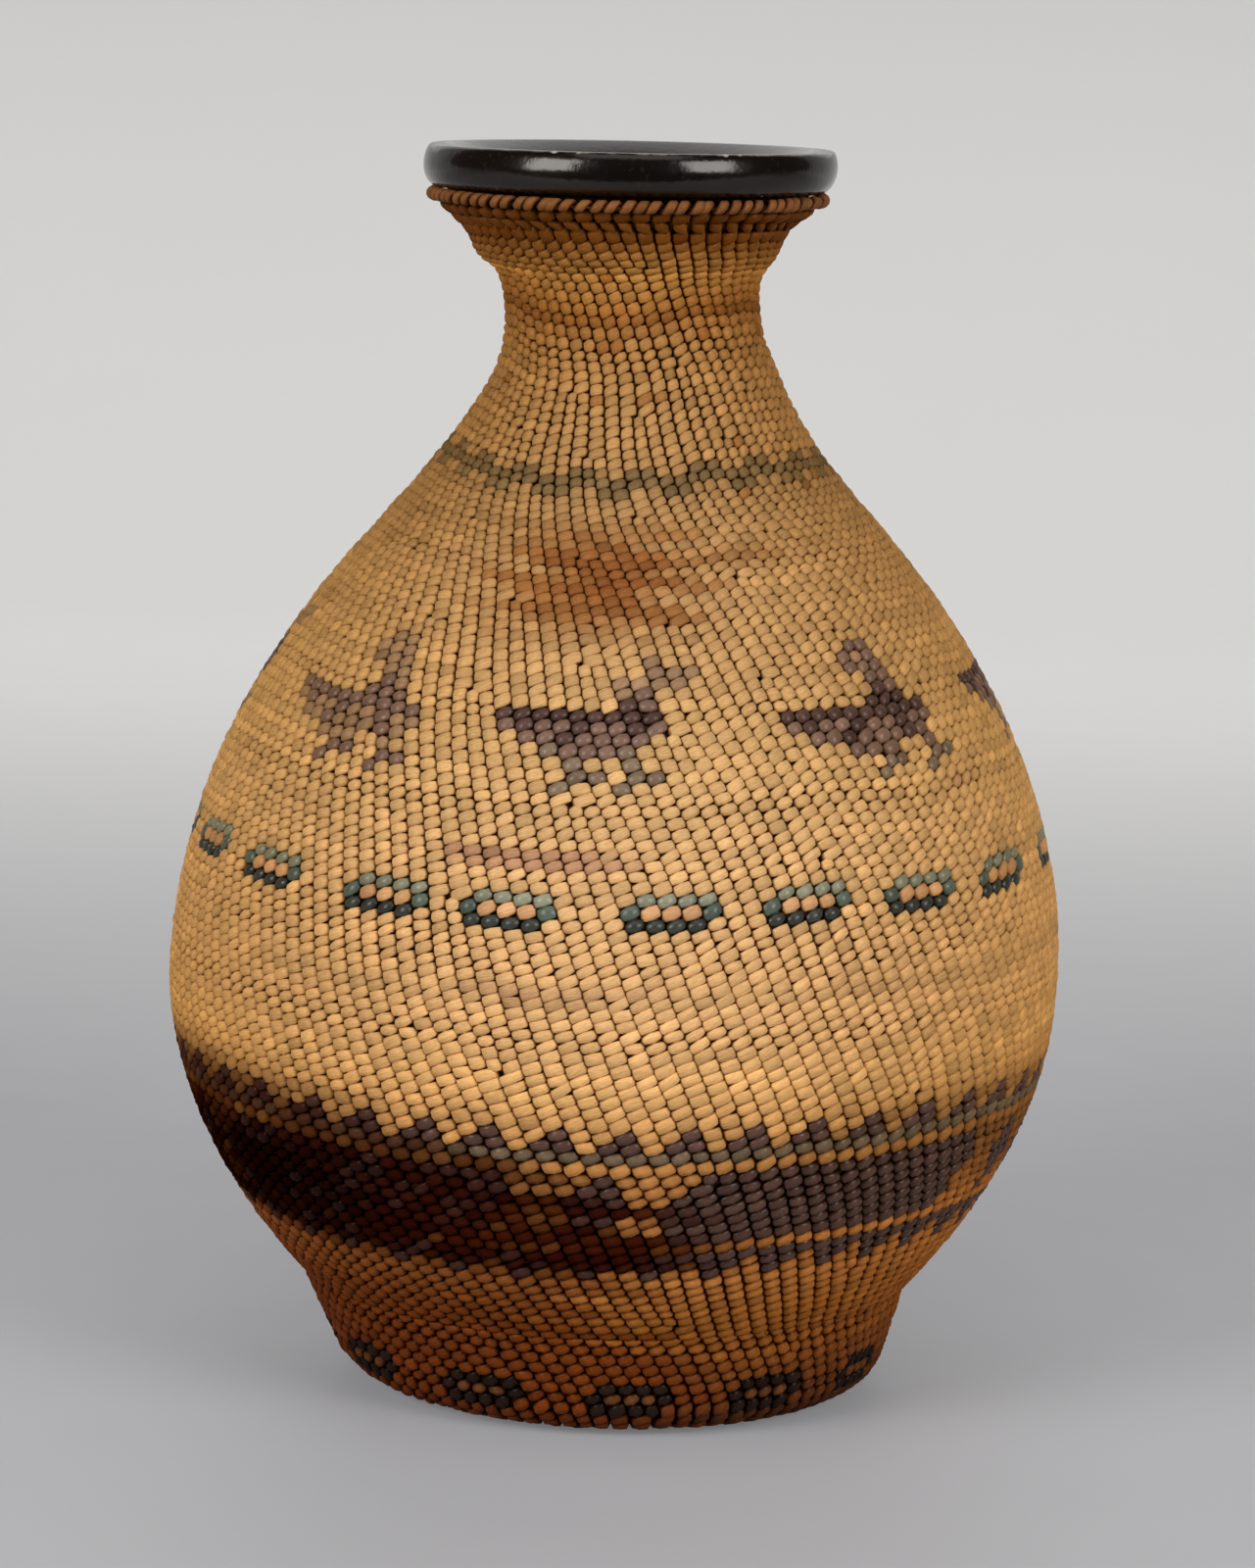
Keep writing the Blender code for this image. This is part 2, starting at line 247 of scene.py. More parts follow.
class Shade:
    """One output of a material's node. Sums on it are written as Python expressions."""

    def __init__(self, tree, socket=None):
        self.tree = tree
        self.socket = socket

    def node(self, kind, settings, inputs, output=0):
        """A new node's output, with its settings made first and its sockets set or linked."""
        made = self.tree.nodes.new(kind)
        for name, value in settings.items():
            if name == "stops":
                made.color_ramp.elements.remove(made.color_ramp.elements[1])
                made.color_ramp.elements[0].position = value[0][0]
                made.color_ramp.elements[0].color = value[0][1]
                for position, colour in value[1:]:
                    made.color_ramp.elements.new(position).color = colour
            else:
                setattr(made, name, value)
        for place, value in inputs.items():
            if isinstance(value, Shade):
                self.tree.links.new(value.socket, made.inputs[place])
            else:
                made.inputs[place].default_value = value
        return Shade(self.tree, made.outputs[output])

    def maths(self, operation, *others):
        """This value, with any others after it, put through one Math node."""
        values = dict(enumerate((self, *others)))
        return self.node("ShaderNodeMath", {"operation": operation}, values)

    def __add__(self, other):
        return self.maths("ADD", other)

    def __sub__(self, other):
        return self.maths("SUBTRACT", other)

    def __rsub__(self, other):
        return self.maths("MULTIPLY_ADD", -1.0, other)

    def __mul__(self, other):
        return self.maths("MULTIPLY", other)

    __radd__ = __add__
    __rmul__ = __mul__

    def ramp(self, low, high):
        """0 below low, 1 above high and smooth between them."""
        settings = {"interpolation_type": "SMOOTHSTEP"}
        return self.node("ShaderNodeMapRange", settings, {"Value": self, 1: low, 2: high})

    def blend(self, first, second):
        """The first colour where this value is 0, and the second where it is 1."""
        return self.node(
            "ShaderNodeMix", {"data_type": "RGBA"}, {0: self, 6: first, 7: second}, 2
        )

    def times(self, colour):
        """Vector or colour multiplied by another one."""
        settings = {"operation": "MULTIPLY"}
        return self.node("ShaderNodeVectorMath", settings, {0: self, 1: colour})

    def scaled(self, factor):
        """Vector or colour multiplied by one number or value."""
        settings = {"operation": "SCALE"}
        return self.node("ShaderNodeVectorMath", settings, {0: self, "Scale": factor})

    def noise(self, scale, detail=2.0, roughness=0.5):
        return self.node(
            "ShaderNodeTexNoise",
            {},
            {"Vector": self, "Scale": scale, "Detail": detail, "Roughness": roughness},
        )

    def parts(self):
        """The three numbers of a vector."""
        return [self.node("ShaderNodeSeparateXYZ", {}, {0: self}, axis) for axis in range(3)]


def material(name):
    """A new material, its Principled shader and a first handle for its nodes."""
    made = bpy.data.materials.new(name)
    made.use_nodes = True
    return made, made.node_tree.nodes["Principled BSDF"], Shade(made.node_tree)


def feed(shade, shader, socket):
    shade.tree.links.new(shade.socket, shader.inputs[socket])


def bumped(shade, height, strength, distance):
    return shade.node(
        "ShaderNodeBump", {}, {"Height": height, "Strength": strength, "Distance": distance}
    )


def brown_glaze():
    made, shader, shade = material("brown_glaze_worn")
    place = shade.node("ShaderNodeAttribute", {"attribute_name": "turned"}, {}, "Vector")
    x, y, z = place.parts()
    out = (x * x + y * y).maths("SQRT")
    clouds = place.noise(95.0, 4.0)
    specks = place.noise(1500.0, 1.0).ramp(0.62, 0.72)
    colour = clouds.ramp(0.35, 0.7).blend((*GLAZE_DARK, 1), (*GLAZE_PALE, 1))
    colour = (specks * 0.4).blend(colour, (*GLAZE_SPECKS, 1))
    crest_radius = FLARE[0] + LIP_OVERHANG - LIP_TOP_INSET
    crest_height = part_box("stoneware_bottle")[1].z
    on_crest = 1 - ((out - crest_radius).maths("ABSOLUTE")).ramp(*WEAR_REACH)
    high_up = z.ramp(crest_height - WEAR_DROPS[0], crest_height - WEAR_DROPS[1])
    patchy = place.noise(260.0, 3.0, 0.6).ramp(0.45, 0.62)
    wear = on_crest * high_up * patchy * WEAR_MOST
    colour = wear.blend(colour, (*RIM_WEAR_COLOUR, 1))
    chips = 0.0
    for degrees in CHIP_ANGLES:
        angle = math.radians(degrees)
        x, y = crest_radius * math.sin(angle), -crest_radius * math.cos(angle)
        spot = (x, y, crest_height - CHIP_DROP)
        away = shade.node("ShaderNodeVectorMath", {"operation": "DISTANCE"}, {0: place, 1: spot}, 1)
        ragged = away + place.noise(900.0) * CHIP_RAGGEDNESS
        chips = (1 - ragged.ramp(*CHIP_REACH)) + chips
    chips = chips.maths("MINIMUM", 1.0)
    colour = chips.blend(colour, (*CHIP_COLOUR, 1))
    feed(colour, shader, "Base Color")
    rough = 0.10 + 0.14 * place.noise(420.0, 3.0) + 0.4 * wear + 0.5 * chips
    feed(rough, shader, "Roughness")
    height = clouds * 0.6 + place.noise(1100.0, 2.0) * 0.14 - chips * 1.2
    feed(bumped(shade, height, 0.35, 0.0006), shader, "Normal")
    shader.inputs["Specular IOR Level"].default_value = 0.45
    shader.inputs["Specular Tint"].default_value = (1.0, 0.94, 0.88, 1.0)
    return made


bottle = link("glazed_bottle", turned_bottle())
bottle.data.materials.append(brown_glaze())
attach(bottle, "root")
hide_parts("stoneware_bottle")

# The warps
# Thin split strips of bark that start at the plaited centre of the base and run up the outside
# to the lip. They lean to the left as they climb, and are added or ended to fit the girth.
FIT_GAP = 0.0003
WARP_THICKNESS = 0.0007
WEFT_THICKNESS = 0.0011
EDGE_RADIUS = 0.0010
EDGE_SETBACK = 0.0004
BASE_ROUNDS = 15
BANDS = (
    ("foot_turn_weft", "shaded_natural", 3, 3),
    ("foot_dash_band", "dyed_dark", 4, 4),
    ("lower_weft", "shaded_natural", 12, 12),
    ("lower_tooth_band", "dyed_dark", 3, 3),
    ("dark_wave_band", "dyed_dark", 9, 9),
    ("upper_tooth_band", "dyed_dark", 4, 4),
    ("belly_weft", "pale_natural", 15, 17),
    ("ring_band", "dyed_green", 3, 3),
    ("waist_weft", "pale_natural", 8, 9),
    ("bird_band", "dyed_plum", 12, 12),
    ("shoulder_weft", "stained_natural", 15, 17),
    ("castellated_band", "dyed_olive", 4, 4),
    ("neck_weft", "warm_natural", 12, 12),
    ("collar_weft", "warm_natural", 12, 12),
)
SEED = 11
COLUMNS = 144
GOLDEN_SHARE = 0.618034
COUNT_HEIGHTS = (8, 20, 34, 45, 60, 72, 82, 95, 105, 114, 120, 128, 138, 148, 160, 168)
COUNTS = (106, 120, 127, 132, 140, 141, 136, 128, 117, 101, 90, 79, 63, 50, 51, 53)
BASE_STITCH = 0.00235
LEAST_WIDTH = 0.45
LEAN_HEIGHTS = (0.0, 0.004, 0.010, 0.03, 0.126, 0.138, 0.150, 0.168)
LEAN_DEGREES = (0.0, 10.0, 19.0, 20.0, 19.0, 11.0, 17.0, 18.0)
LEAN_SWING = math.tan(math.radians(6.0))
SWING_HEIGHTS = (0.004, 0.126)
SWING_TURN = math.radians(30.0)
LEVEL_HEIGHT = 0.078
SEAM_DEGREES = 232.0
SETTLING_ROWS = 9
ROW_UNEVENNESS = 0.09
COLLAR_ROWS = 3
COLLAR_HEIGHT = 1.25
BARK_COLOUR = (0.16, 0.08, 0.022)
BARK_PALE = (0.30, 0.15, 0.05)
WARP_FILL = 1.18
WARP_ROUNDING = 0.35
FOLD = (0.1610, 0.0030, 0.0014, 0.15)
DIP_ANGLES = (-180, -110, -69, -50, -31, -12, 8, 25, 44, 62, 110, 180)
DIPS_LOW = (0, 8, 18, 8, 2, -2, -1, 8, 20, 25, 8, 0)
DIPS_HIGH = (0, 8, 15, -1, -10, -8, -3, 10, 8, 15, 6, 0)
DIP_UNIT = 0.0001
DIP_BLEND = (0.045, 0.078)
EASING_DEGREES = 21
ROUND_DEGREES = np.arange(-180, 180)
STRAY_HEIGHTS = (0.006, 0.03, 0.15, 0.164)
RIPPLES = ((0.0002, 3, 40, 0), (0.00012, 5, -25, 1))
FINE_RIPPLES = ((0.00012, 11, 90, 0), (0.00008, 23, -60, 0))

side_shares = np.concatenate([[0], np.cumsum([band[2] for band in BANDS])])
band_edges = BASE_ROUNDS + np.concatenate([[0], np.cumsum([band[3] for band in BANDS])])
row_count = band_edges[-1]
braid_arc = ARC[-1] - EDGE_SETBACK
cover_end = braid_arc - EDGE_RADIUS - FIT_GAP
row_height = (cover_end - FOOT_TURN_START) / side_shares[-1]
chance = np.random.default_rng(SEED)
uneven = 1 + chance.uniform(-ROW_UNEVENNESS, ROW_UNEVENNESS, row_count)
uneven[-COLLAR_ROWS:] *= COLLAR_HEIGHT
row_edges = FOOT_TURN_START + row_height * (
    np.concatenate([[0], np.cumsum(uneven)]) - uneven[:BASE_ROUNDS].sum()
)
true_edges = FOOT_TURN_START + row_height * side_shares
row_edges[BASE_ROUNDS:] += np.interp(
    np.arange(BASE_ROUNDS, row_count + 1), band_edges, true_edges - row_edges[band_edges]
)
row_arcs = (row_edges[1:] + row_edges[:-1]) / 2
row_radius, row_level = along_outside(row_arcs, COVER_THICKNESS)


def column_shares():
    """For each row, the share of the circle that each column of stitches takes. A column that is
    added or ended narrows over a few rows."""
    wanted = np.interp(row_level * 1000, COUNT_HEIGHTS, COUNTS) / COLUMNS
    wanted = np.minimum(wanted, math.tau * row_radius / BASE_STITCH / COLUMNS)
    rank = (np.arange(COLUMNS) * GOLDEN_SHARE) % 1.0
    present = (rank[None, :] < wanted[:, None]).astype(float)
    taper = np.array([1, 2, 3, 2, 1]) / 9
    padded = np.pad(present, ((2, 2), (0, 0)), mode="edge")
    share = sum(weight * padded[up : up + row_count] for up, weight in enumerate(taper))
    share *= share > LEAST_WIDTH
    return share / share.sum(axis=1)[:, None]


shares = column_shares()
shown = shares > 0
lean = np.tan(np.radians(np.interp(row_level, LEAN_HEIGHTS, LEAN_DEGREES)))
steps = np.diff(row_arcs, prepend=row_arcs[0])
twist = np.cumsum(lean / row_radius * steps)
swinging = (row_level > SWING_HEIGHTS[0]) & (row_level < SWING_HEIGHTS[1])
swing = np.cumsum(LEAN_SWING * swinging / row_radius * steps)
window = np.hanning(2 * SETTLING_ROWS + 3)[1:-1]
padded = np.pad(
    np.cumsum(shares, axis=1) - shares / 2, ((SETTLING_ROWS, SETTLING_ROWS), (0, 0)), mode="edge"
)
window /= window.sum()
turns = sum(weight * padded[up : up + row_count] for up, weight in enumerate(window))
level_row = np.searchsorted(row_level, LEVEL_HEIGHT)
column_angles = math.tau * turns + math.radians(SEAM_DEGREES) - (twist - twist[level_row])[:, None]
column_angles -= (swing - swing[level_row])[:, None] * np.sin(column_angles + SWING_TURN)
column_slopes = np.gradient(column_angles, row_arcs, axis=0) * row_radius[:, None]
half_angles = np.zeros_like(column_angles)
for row in range(row_count):
    columns = np.flatnonzero(shown[row])
    here = column_angles[row, columns]
    after = (here + np.append(here[1:], here[0] + math.tau)) / 2
    before = np.append(after[-1] - math.tau, after[:-1])
    column_angles[row, columns] = (before + after) / 2
    half_angles[row, columns] = (after - before) / 2


def smooth_round(values):
    """Values at the dips' angles, eased into a smooth run of one per degree round the bottle."""
    run = np.interp(ROUND_DEGREES, DIP_ANGLES, values) * DIP_UNIT
    easing = np.hanning(EASING_DEGREES)
    margin = EASING_DEGREES // 2
    run = np.concatenate([run[-margin:], run, run[:margin]])
    return np.convolve(run, easing / easing.sum(), mode="valid")


LOW_RUN = smooth_round(DIPS_LOW)
HIGH_RUN = smooth_round(DIPS_HIGH)


def rippled(ripples, angle, height):
    """Sum of waves, each given by its size, its number round, its climb and its start."""
    return sum(
        size * np.sin(number * angle + climb * height + start)
        for size, number, climb, start in ripples
    )


def waviness(arc, angle):
    """How far the rows stray along the outside: the weaver's rounds dip and rise a little."""
    height = np.interp(arc, ARC, OUTSIDE[:, 1])
    fade = np.interp(height, STRAY_HEIGHTS, (0.0, 1.0, 1.0, 0.0))
    upper = np.interp(height, DIP_BLEND, (0.0, 1.0))
    degrees = np.degrees(angle)
    low = np.interp(degrees, ROUND_DEGREES, LOW_RUN, period=360)
    high = np.interp(degrees, ROUND_DEGREES, HIGH_RUN, period=360)
    broad = rippled(RIPPLES, angle, height)
    fine = rippled(FINE_RIPPLES, angle, height)
    return fade * (low + upper * (high - low) + broad + fine)


def on_cover(arc, angle, offset):
    """Places over the stoneware at arc lengths, angles from the front and offsets outwards."""
    strayed = arc + waviness(arc, angle)
    height = np.interp(strayed, ARC, OUTSIDE[:, 1])
    fold = np.exp(-(((height - FOLD[0]) / FOLD[1]) ** 2)) * (1 - FOLD[3] * np.sin(angle))
    radius, height = along_outside(strayed, offset + FOLD[2] * fold)
    return lopsided(radius, angle, height)


def slab(x_cuts, y_cuts):
    """A flat grid from -1 to 1 each way with its top at 0 and its underside at -1."""
    shape = bmesh.new()
    bmesh.ops.create_grid(shape, x_segments=x_cuts, y_segments=y_cuts, size=1.0)
    bmesh.ops.solidify(shape, geom=shape.faces[:], thickness=1.0)
    return shape


def column_runs(column):
    """First and last row of each unbroken run of a column."""
    flags = np.concatenate([[0], shown[:, column].astype(int), [0]])
    starts = np.flatnonzero(np.diff(flags) == 1)
    ends = np.flatnonzero(np.diff(flags) == -1) - 1
    return [(start, end) for start, end in zip(starts, ends) if end - start > 1]


def bark_warps():
    shape = bmesh.new()
    places = []
    for column in range(COLUMNS):
        for start, end in column_runs(column):
            mesh = mesh_from(slab(max(2, (end - start) // 2), 1), "strip")
            along, across, depth = points_of(mesh).T
            row = start + (along + 1) / 2 * (end - start)
            rows = np.arange(row_count)
            arc = np.interp(row, rows, row_arcs) + along * row_height / 2
            angle = np.interp(row, rows, column_angles[:, column])
            half = np.interp(row, rows, half_angles[:, column])
            offset = FIT_GAP + WARP_THICKNESS * (1 + depth - WARP_ROUNDING * (1 + depth) * across**2)
            places.append(on_cover(arc, angle + across * half * WARP_FILL, offset))
            shape.from_mesh(mesh)
            bpy.data.meshes.remove(mesh)
    made = mesh_from(shape, "bark_warps")
    made.vertices.foreach_set("co", np.concatenate(places).ravel())
    made.shade_smooth()
    return made


def bark():
    made, shader, shade = material("split_bark")
    place = shade.node("ShaderNodeTexCoord", {}, {}, "Object")
    grain = place.noise(700.0, 3.0)
    streaks = place.times((1.0, 1.0, 0.25)).noise(1600.0, 2.0)
    tone = grain * 0.5 + streaks * 0.5
    feed(tone.ramp(0.35, 0.68).blend((*BARK_COLOUR, 1), (*BARK_PALE, 1)), shader, "Base Color")
    feed(0.6 + 0.25 * grain, shader, "Roughness")
    feed(bumped(shade, streaks, 0.5, 0.0001), shader, "Normal")
    return made


bark_finish = bark()
warps = link("bark_warps", bark_warps())
warps.data.materials.append(bark_finish)
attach(warps, "root")
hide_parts("warp_strands")

# The plaited centre of the base
# The first warps cross over and under each other in a small square of bark, which holds them
# while the rounds of the base are twined about it. The pattern under the foot is a guess.
PLAIT_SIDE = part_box("base_plait")[1].x * 2
PLAIT_STRIPS = 8
PLAIT_MIDDLE = 0.00105
PLAIT_WAVE = 0.00032
PLAIT_THICKNESS = 0.0004
CUTS_PER_CROSSING = 4
PLAIT_FILL = 0.46
PLAIT_ROUNDING = 0.3


def plaited_centre():
    shape = bmesh.new()
    pitch = PLAIT_SIDE / PLAIT_STRIPS
    for crosswise in (False, True):
        for index in range(PLAIT_STRIPS):
            mesh = mesh_from(slab(PLAIT_STRIPS * CUTS_PER_CROSSING, 1), "strip")
            side = (index - (PLAIT_STRIPS - 1) / 2) * pitch
            for vert in mesh.vertices:
                along = vert.co.x * PLAIT_SIDE / 2
                phase = math.pi * (along / pitch + PLAIT_STRIPS / 2 - 0.5 + index + crosswise)
                across = side + vert.co.y * pitch * PLAIT_FILL
                crown = -vert.co.z * PLAIT_THICKNESS * (1 - PLAIT_ROUNDING * vert.co.y**2)
                height = PLAIT_MIDDLE + PLAIT_WAVE * math.cos(phase) + PLAIT_THICKNESS / 2 - crown
                vert.co = (across, along, height) if crosswise else (along, across, height)
            shape.from_mesh(mesh)
            bpy.data.meshes.remove(mesh)
    bmesh.ops.recalc_face_normals(shape, faces=shape.faces)
    made = mesh_from(shape, "plaited_centre")
    made.shade_smooth()
    return made


plait = link("plaited_centre", plaited_centre())
plait.data.materials.append(bark_finish)
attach(plait, "root")
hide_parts("base_plait")

# The twined rounds of the base
# Grass weft twined over the warps, round by round, from the plaited centre to the edge of the
# foot. Each stitch is a short, flat pad of grass that crosses one warp on the slant.
STITCH_CUTS = (4, 4)
END_DEPTH = 0.10
STITCH_LENGTH_FILL = 0.965
STITCH_WIDTH_FILL = 1.02
SHOULDER_START = 0.35
BASE_SLANT = 14.0
# Dirt and painted shade in the grooves between the pads. These four are their colour, the heights
# below which the painted shade reaches further up each pad, the depths over which it fades out, and
# how much further it reaches.
GROOVE_DIRT_AND_SHADE = (0.19, 0.12, 0.035)
GROOVE_SHADE_HEIGHTS = (0.043, 0.054)
DIRT_AND_SHADE_DEPTHS = (0.12, 0.86)
EXTRA_GROOVE_SHADE = 0.24
BASE_COLOUR = (150, 96, 50)
BASE_GLOSS = 0.15
BASE_SPREADS = (0.09, 0.08)
BASE_SLANT_SPREAD = 3.0
BASE_PLUMPNESS = (0.95, 0.05)
BASE_ROUNDNESS = 0.3
PLAIT_CLEARANCE = 0.4


def srgb(red, green, blue):
    """Linear colour of one given in display values from 0 to 255."""
    share = np.array([red, green, blue]) / 255
    return np.where(share <= 0.04045, share / 12.92, ((share + 0.055) / 1.055) ** 2.4)


def stitch_template():
    """Cushion-shaped pad: x along the strand and y across it from -1 to 1, z from 0 to 1."""
    shape = slab(*STITCH_CUTS)
    shape.normal_update()
    under = [face for face in shape.faces if face.normal.z < -0.5]
    bmesh.ops.dissolve_faces(shape, faces=under, use_verts=True)
    for vert in shape.verts:
        x, y = (math.sin(value * math.pi / 2) for value in vert.co.xy)
        if vert.co.z < -0.5:
            vert.co = (x * 0.96, y * 0.92, 0.0)
        else:
            dome = max(0.0, 1 - abs(x) ** 3) ** 0.6 * (1 - 0.5 * abs(y) ** 2.5)
            vert.co = (x, y, END_DEPTH + (1 - END_DEPTH) * dome)
    return mesh_from(shape, "stitch")


stitch = stitch_template()
STITCH_POINTS = points_of(stitch)


def copies(template, count, name):
    """One mesh that holds so many copies of a small one."""
    shape = bmesh.new()
    for _ in range(count):
        shape.from_mesh(template)
    made = mesh_from(shape, name)
    made.shade_smooth()
    return made


def store_grass(mesh, along, across, depth, dye, shape):
    """Stores each point's place on its strand, its colour with the gloss, and its strand's lot."""
    ones = np.ones(shape)
    strand = np.stack([along * ones, across * ones, depth * ones], -1)
    store(mesh, "strand", "FLOAT_VECTOR", "vector", strand)
    store(mesh, "dye", "FLOAT_COLOR", "color", dye[:, None, :] * ones[:, :, None])
    store(mesh, "lot", "FLOAT", "value", chance.random((len(dye), 1)) * ones)


def lay_stitches(name, where, dye, look):
    """Mesh of stitches. where holds each one's arc, angle, half angle, half height and slope,
    look its slant, plumpness and roundness, and the last argument its colour, painted shade
    included, and its gloss."""
    arc, angle, half_angle, half_height, slope = (value[:, None] for value in where)
    slant, plump, rounded = (value[:, None] for value in look)
    x, y, depth = STITCH_POINTS.T[:, None, :]
    radius = along_outside(arc, COVER_THICKNESS)[0]
    pointed = np.clip((abs(x) - SHOULDER_START) / (1 - SHOULDER_START), 0, 1)
    x_full = x * (STITCH_LENGTH_FILL + 0.06 * rounded) * (1 - (0.02 + 0.12 * rounded) * y**2)
    y_full = y * STITCH_WIDTH_FILL * (1 - (0.13 + 0.36 * rounded) * pointed) * half_height
    raised = 1 - (1 - depth) ** (2 - rounded)
    side = x_full * half_angle + y_full * slope / radius
    climb = y_full + x_full * half_angle * radius * np.tan(np.radians(slant))
    offset = COVER_THICKNESS - WEFT_THICKNESS * (1 - raised * plump)
    places = on_cover(arc + climb, angle + side, offset)
    mesh = copies(stitch, len(arc), name)
    mesh.vertices.foreach_set("co", places.ravel())
    store_grass(mesh, x, y, raised, dye, places.shape[:2])
    return mesh


def grass():
    made, shader, shade = material("grass_weft")
    # The stored colour carries painted shade on the sides and a painted highlight and painted shade
    # near the lip.
    dye = shade.node("ShaderNodeAttribute", {"attribute_name": "dye"}, {}, "Color")
    gloss = shade.node("ShaderNodeAttribute", {"attribute_name": "dye"}, {}, "Alpha")
    strand = shade.node("ShaderNodeAttribute", {"attribute_name": "strand"}, {}, "Vector")
    lot = shade.node("ShaderNodeAttribute", {"attribute_name": "lot"}, {}, "Fac")
    along, across, depth = strand.parts()
    spread = {0: along * 0.7 + lot * 37.0, 1: across * 3.4, 2: lot * 71.0}
    fibres = shade.node("ShaderNodeCombineXYZ", {}, spread).noise(1.6, 3.0, 0.6)
    place = shade.node("ShaderNodeTexCoord", {}, {}, "Object")
    mottle = place.noise(420.0, 2.0)
    colour = dye.scaled(0.40 + 1.0 * fibres + 0.22 * mottle)
    # Dirt and painted shade darken the deep parts of each pad. Low on the bottle the painted shade
    # reaches further up the pad.
    low_groove_shade = 1 - place.parts()[2].ramp(*GROOVE_SHADE_HEIGHTS)
    free_of_dirt_and_shade = (depth - EXTRA_GROOVE_SHADE * low_groove_shade).ramp(*DIRT_AND_SHADE_DEPTHS)
    colour = free_of_dirt_and_shade.blend(colour.times(GROOVE_DIRT_AND_SHADE), colour)
    feed(colour, shader, "Base Color")
    feed(0.52 + 0.16 * fibres - 0.3 * gloss, shader, "Roughness")
    feed(bumped(shade, fibres, 0.8, 0.00014), shader, "Normal")
    feed(0.12 * gloss.ramp(0.03, 0.22) + 0.45 * gloss.ramp(0.3, 0.95), shader, "Coat Weight")
    shader.inputs["Coat Roughness"].default_value = 0.28
    shader.inputs["Specular IOR Level"].default_value = 0.0
    return made


grass_finish = grass()


def stitches_of(rows):
    """Row and column numbers of all the stitches in some rows."""
    row, column = np.nonzero(shown[rows.start : rows.stop])
    return row + rows.start, column


def where_of(row, column):
    half_heights = np.diff(row_edges) / 2
    return (
        row_arcs[row],
        column_angles[row, column],
        half_angles[row, column],
        half_heights[row],
        column_slopes[row, column],
    )


def hung(piece, node):
    """Puts the grass on a piece of weft and lets it stand for its node."""
    piece.data.materials.append(grass_finish)
    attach(piece, "root")
    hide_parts(node)


def base_rounds():
    row, column = stitches_of(range(BASE_ROUNDS))
    x, y, _ = on_cover(row_arcs[row], column_angles[row, column], 0.0).T
    clear = np.maximum(abs(x), abs(y)) > PLAIT_SIDE / 2 + row_height * PLAIT_CLEARANCE
    row, column = row[clear], column[clear]
    count = len(row)
    brown = srgb(*BASE_COLOUR) * chance.normal(1.0, BASE_SPREADS[0], (count, 1))
    brown *= chance.normal(1.0, BASE_SPREADS[1], (BASE_ROUNDS, 1))[row]
    dye = np.column_stack([brown, np.full(count, BASE_GLOSS)])
    look = (
        chance.normal(BASE_SLANT, BASE_SLANT_SPREAD, count),
        np.minimum(chance.normal(*BASE_PLUMPNESS, count), 1.0),
        np.full(count, BASE_ROUNDNESS),
    )
    return lay_stitches("base_rounds", where_of(row, column), dye, look)


rounds = link("base_rounds", base_rounds())
hung(rounds, "base_twining")

# The weft up the side
# The same slanted stitches, wrapped over the warps row by row from the foot to the lip. A new
# strand is laid in wherever the colour changes, so the designs are built of whole stitches.
# Plain grass colour by height, darker towards the foot. Near the top the table also holds a painted
# highlight on the fold at 0.157 m and painted shade under the lip at 0.162 m.
NATURAL_LIGHT_AND_SHADE_BY_HEIGHT = (
    (0.002, (90, 48, 22)),
    (0.008, (134, 76, 34)),
    (0.018, (186, 114, 46)),
    (0.024, (208, 134, 66)),
    (0.036, (194, 126, 66)),
    (0.044, (204, 144, 82)),
    (0.054, (230, 178, 114)),
    (0.062, (218, 170, 114)),
    (0.085, (222, 176, 120)),
    (0.098, (208, 164, 108)),
    (0.118, (190, 146, 94)),
    (0.130, (174, 132, 82)),
    (0.142, (182, 136, 82)),
    (0.149, (174, 124, 68)),
    (0.152, (144, 90, 38)),
    (0.157, (202, 144, 74)),
    (0.162, (120, 70, 22)),
)
DYES = {
    "d": ((84, 60, 52), 0.65),
    "m": ((126, 96, 80), 0.7),
    "f": ((158, 124, 92), 0.4),
    "k": ((128, 106, 84), 0.8),
    "G": ((88, 98, 86), 0.95),
    "g": ((138, 136, 114), 0.9),
    "B": ((58, 60, 54), 0.95),
    "o": ((212, 160, 112), 0.35),
    "#": ((94, 66, 56), 0.66),
    "=": ((120, 100, 76), 0.6),
    "c": ((124, 98, 62), 0.4),
    "x": ((44, 29, 22), 0.4),
    "w": ((118, 73, 41), 0.3),
}
BIRD = (
    ".........f..",
    ".........fff",
    ".......ffff.",
    ".......fm...",
    ".......dm...",
    "ddddddddd...",
    "mdmmdmmdm...",
    ".mmdmmmm....",
    "..kmmmk.....",
    "...k..k.....",
    "...kk.kk....",
    "..k..k......",
)
BOLD_BIRD = (
    ".......mm...",
    "......mfm...",
    "......mmm...",
    ".......mm...",
    ".......dm...",
    "......ddd...",
    "dddddddddd..",
    "mdmmdmmdmm..",
    ".mmdmmmdm...",
    "...mmm..m...",
    "....kk..kk..",
    "...k...k....",
)
BOLD_BIRDS = (1, 4, 7)
FADED_BIRD = 7
FADING = str.maketrans("dmk", "mfm")
BIRD_COUNT = 8
BIRD_START = 2.45
BIRD_SWAY = 0.5
RING = (".gggg", "GoooG", "BBBB.")
RING_COUNT = 19
RING_START = -12.3
RING_SWAY = 0.6
FOOT_RING = (".xxxx", "xwwwx", "xxxx.")
FOOT_RING_COUNT = 12
FOOT_RING_START = 4.7
TOOTH = ("..#", ".##", "===")
LOWER_TOOTH = ("###", "##.", "#..")
WAVE = (
    "........................",
    "...#....###############.",
    "..##...################.",
    ".###..#################.",
    ".###.#################..",
    ".##..################...",
    ".#...################...",
    "#....###############....",
    "........................",
)
WAVE_EDGE = -7.95
TOOTH_EDGE = -3.0
